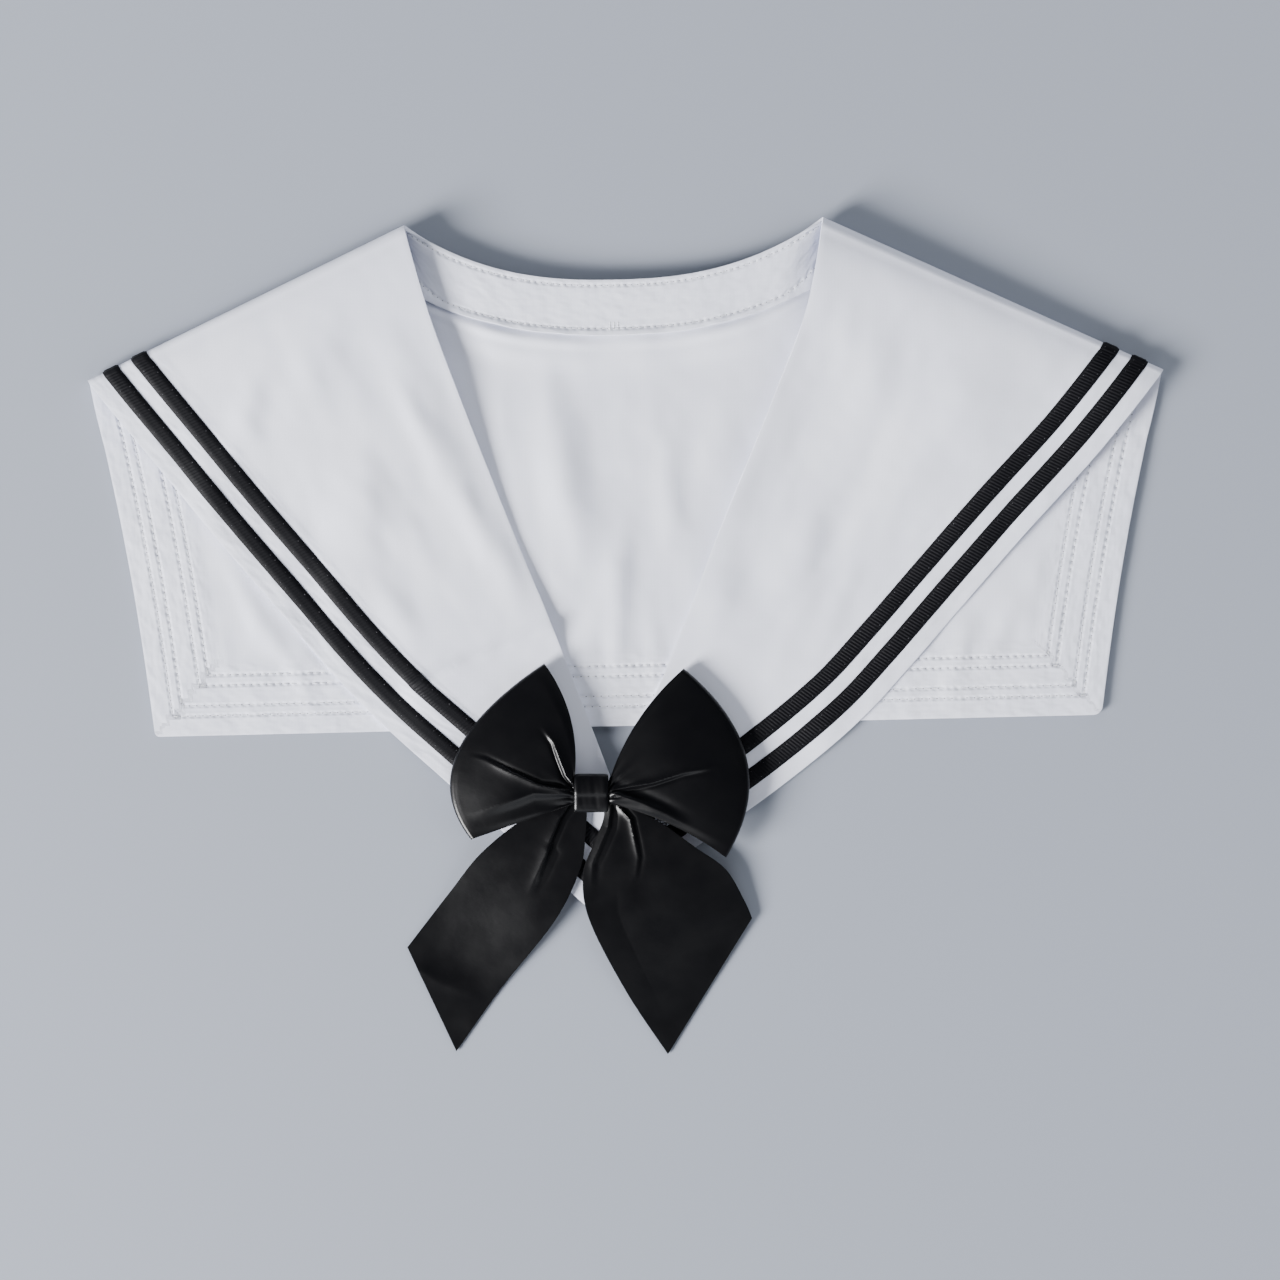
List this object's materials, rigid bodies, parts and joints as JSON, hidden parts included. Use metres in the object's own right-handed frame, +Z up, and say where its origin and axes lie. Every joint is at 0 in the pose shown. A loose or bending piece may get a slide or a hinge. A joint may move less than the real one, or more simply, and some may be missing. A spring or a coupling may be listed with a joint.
{
  "type": "sailor collar with satin bow",
  "caption": "Detachable white sailor collar folded flat, black ribbed stripes along its edges and a black satin bow where the lapels cross.",
  "frame": {"origin": "middle of the whole outline, on the surface that the collar lies on", "axes": "+X from the left shoulder corner to the right one as the picture shows them, +Y from the bow's tails up to the neckline, +Z up from the surface towards the camera"},
  "size_m": [0.4298, 0.3346, 0.0163],
  "materials": {
    "white_cotton": "plain woven white cotton blend, matt",
    "white_facing": "plain woven white cotton blend, stitched down",
    "ribbed_ribbon": "black ribbed ribbon, ribs across its width",
    "black_satin": "black satin with a soft sheen",
    "pin_steel": "plain bright steel"
  },
  "bodies": {
    "root": {"collar_cloth": "white_cotton", "neck_band": "white_facing", "outer_ribbon": "ribbed_ribbon", "inner_ribbon": "ribbed_ribbon", "left_loop": "black_satin", "right_loop": "black_satin", "left_tail": "black_satin", "right_tail": "black_satin", "knot": "black_satin", "bow_pin": "pin_steel"}
  },
  "joints": []
}
